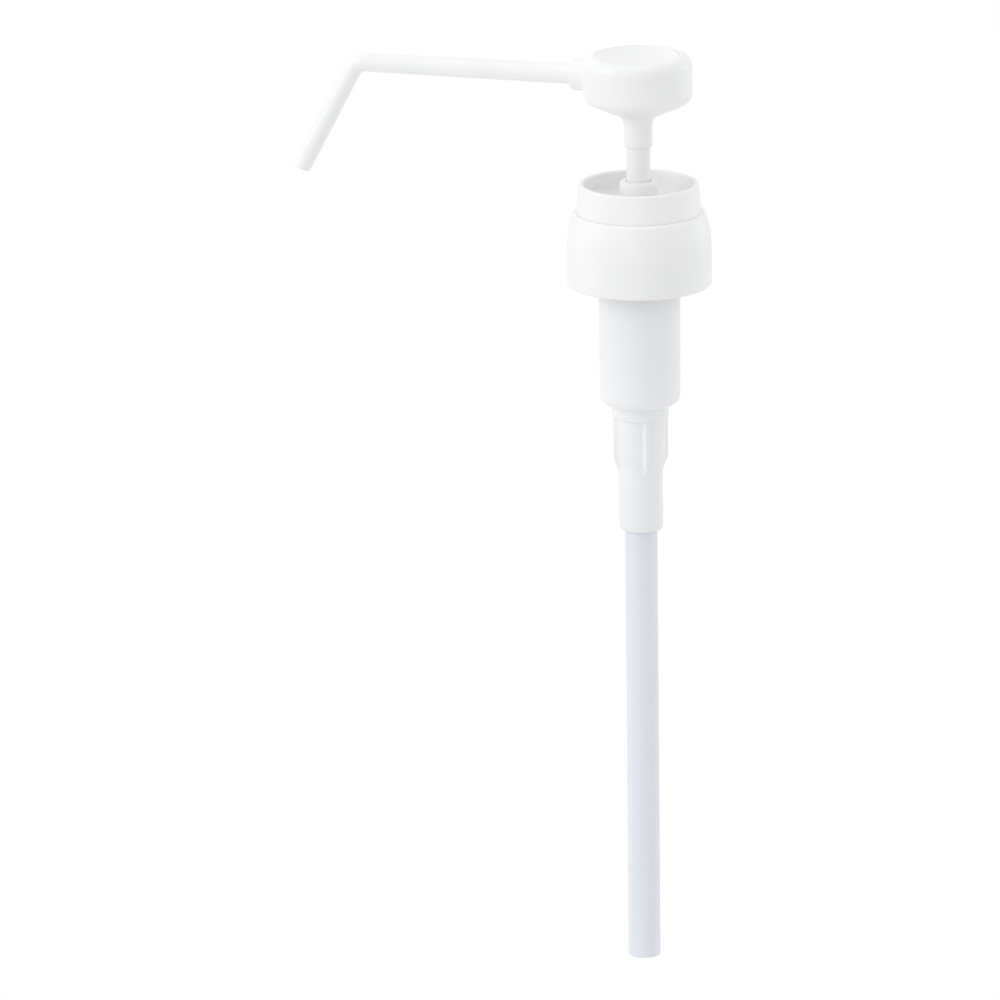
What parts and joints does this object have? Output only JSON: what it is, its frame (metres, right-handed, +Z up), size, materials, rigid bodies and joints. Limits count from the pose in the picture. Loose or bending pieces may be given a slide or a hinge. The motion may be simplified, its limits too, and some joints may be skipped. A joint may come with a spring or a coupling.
{
  "type": "condiment pump dispenser",
  "caption": "Bottle-neck condiment pump: thumb head with a long bent spout on a hollow stem, cup collar, screw cap, stepped ribbed barrel with sprung piston and ball valves, and a dip tube.",
  "frame": {"origin": "on the stem's axis, in the plane where the gasket lies on the bottle's rim", "axes": "+Z up along the stem towards the thumb head, -X along the spout"},
  "size_m": [0.1346, 0.045, 0.2915],
  "materials": {
    "white_plastic": "satin moulded polypropylene",
    "natural_plastic": "natural moulded polypropylene",
    "tube_plastic": "natural extruded polyethylene",
    "soft_seal": "soft polyethylene or elastomer",
    "steel": "plain stainless"
  },
  "bodies": {
    "barrel_body": {"barrel": "natural_plastic", "collar": "white_plastic", "stem_guide": "natural_plastic", "stem_wiper": "soft_seal", "neck_gasket": "soft_seal", "valve_cage": "natural_plastic", "dip_tube": "tube_plastic", "return_spring": "steel"},
    "piston_body": {"piston": "natural_plastic", "piston_seal": "soft_seal", "piston_foot": "natural_plastic"},
    "head_body": {"stem": "white_plastic", "pump_head": "white_plastic", "head_cover": "white_plastic", "spout": "white_plastic", "spout_seal": "soft_seal", "outlet_seat": "soft_seal"},
    "cap_body": {"closure_cap": "white_plastic"},
    "inlet_ball_body": {"inlet_ball": "steel"},
    "outlet_ball_body": {"outlet_ball": "steel"}
  },
  "joints": [
    {"name": "plunger_slide", "type": "slide", "parent": "barrel_body", "child": "piston_body", "axis": [0, 0, -1], "range_m": [0, 0.0105], "stiffness_N_per_m": 500, "springref_m": -0.012, "deforming": ["return_spring"]},
    {"name": "head_swivel", "type": "hinge", "parent": "piston_body", "child": "head_body", "pos_m": [0, 0, 0.03], "axis": [0, 0, 1], "continuous": true},
    {"name": "cap_spin", "type": "hinge", "parent": "barrel_body", "child": "cap_body", "pos_m": [0, 0, -0.005], "axis": [0, 0, 1], "continuous": true},
    {"name": "inlet_ball_lift", "type": "slide", "parent": "barrel_body", "child": "inlet_ball_body", "axis": [0, 0, 1], "range_m": [0, 0.0018]},
    {"name": "outlet_ball_lift", "type": "slide", "parent": "head_body", "child": "outlet_ball_body", "axis": [0, 0, 1], "range_m": [0, 0.0014]}
  ]
}
